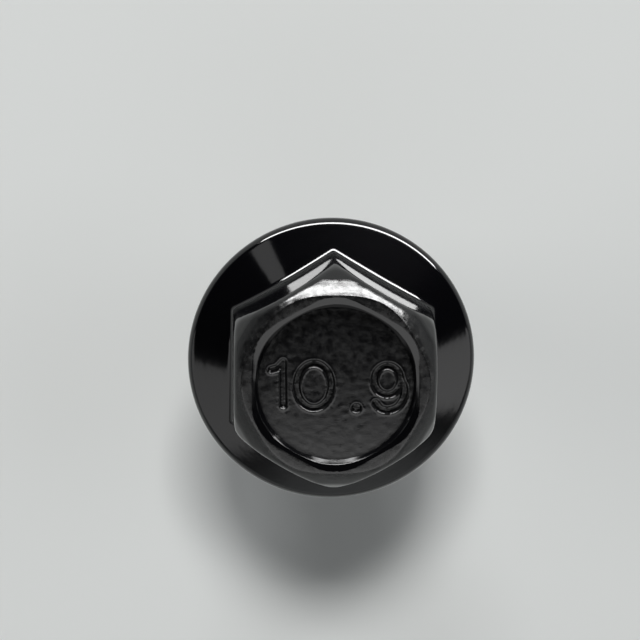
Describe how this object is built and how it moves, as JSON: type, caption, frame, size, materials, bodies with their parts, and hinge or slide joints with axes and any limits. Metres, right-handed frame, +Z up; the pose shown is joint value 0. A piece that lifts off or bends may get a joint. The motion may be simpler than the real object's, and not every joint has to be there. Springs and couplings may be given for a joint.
{
  "type": "flange bolt",
  "caption": "Hexagon-head flange bolt with a coned flange, a dished head and a threaded shank, forged from steel with a black finish.",
  "frame": {"origin": "centre of the bearing face, the flat ring under the flange", "axes": "+Z up the bolt's axis towards the head, -Z towards the tip; two flats of the hexagon face +X and -X, and two of its corners point along +Y and -Y"},
  "size_m": [0.026, 0.026, 0.0413],
  "materials": {
    "black_steel": "gloss"
  },
  "bodies": {
    "root": {"flange_bolt": "black_steel"}
  },
  "joints": []
}
